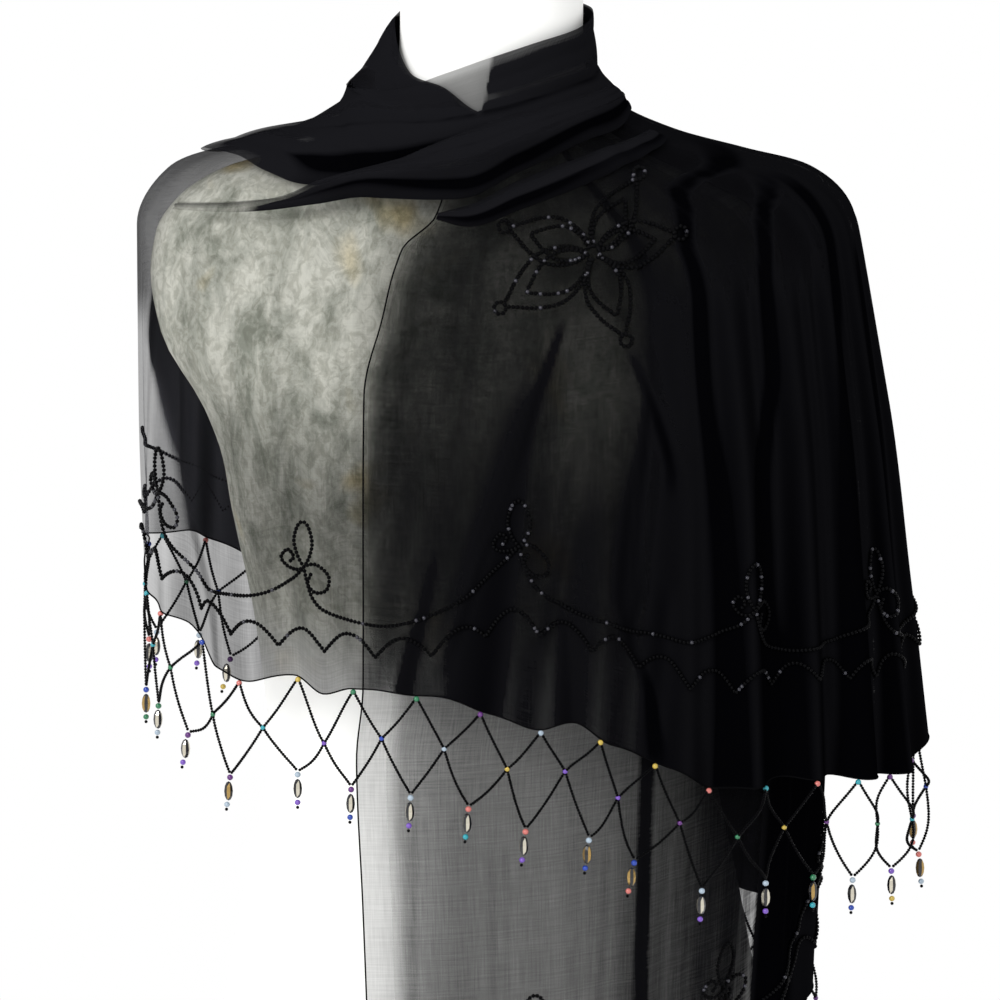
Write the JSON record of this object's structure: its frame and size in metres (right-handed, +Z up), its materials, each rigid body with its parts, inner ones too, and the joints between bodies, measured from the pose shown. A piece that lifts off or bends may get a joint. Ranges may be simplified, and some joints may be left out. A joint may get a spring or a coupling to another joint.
{
  "type": "beaded shawl on a limbless dress form",
  "caption": "Sheer woven shawl with a beaded edge and a net fringe of drops, wound round the neck and shoulders of a limbless display torso that stands on its flat base",
  "frame": {"origin": "centre of the form's flat base, on the surface that it stands on", "axes": "+Z up, the front of the form faces -Y, +X is on the right as one looks at the front"},
  "size_m": [0.4756, 0.2882, 0.85],
  "materials": {
    "form_cover": "off-white stretched cover with faint mottling, dull",
    "voile": "sheer black cotton voile, plain weave with slubs, dull",
    "beads": "black glass seed beads on cord, glossy"
  },
  "bodies": {
    "root": {"dress_form": "form_cover", "shawl_tail": "voile", "shawl_back": "voile", "shawl_front": "voile", "neck_collar": "voile", "neck_band_upper": "voile", "neck_band_lower": "voile", "neck_fold_low": "voile", "net_tail": "beads", "net_back": "beads", "net_front": "beads"}
  },
  "joints": []
}
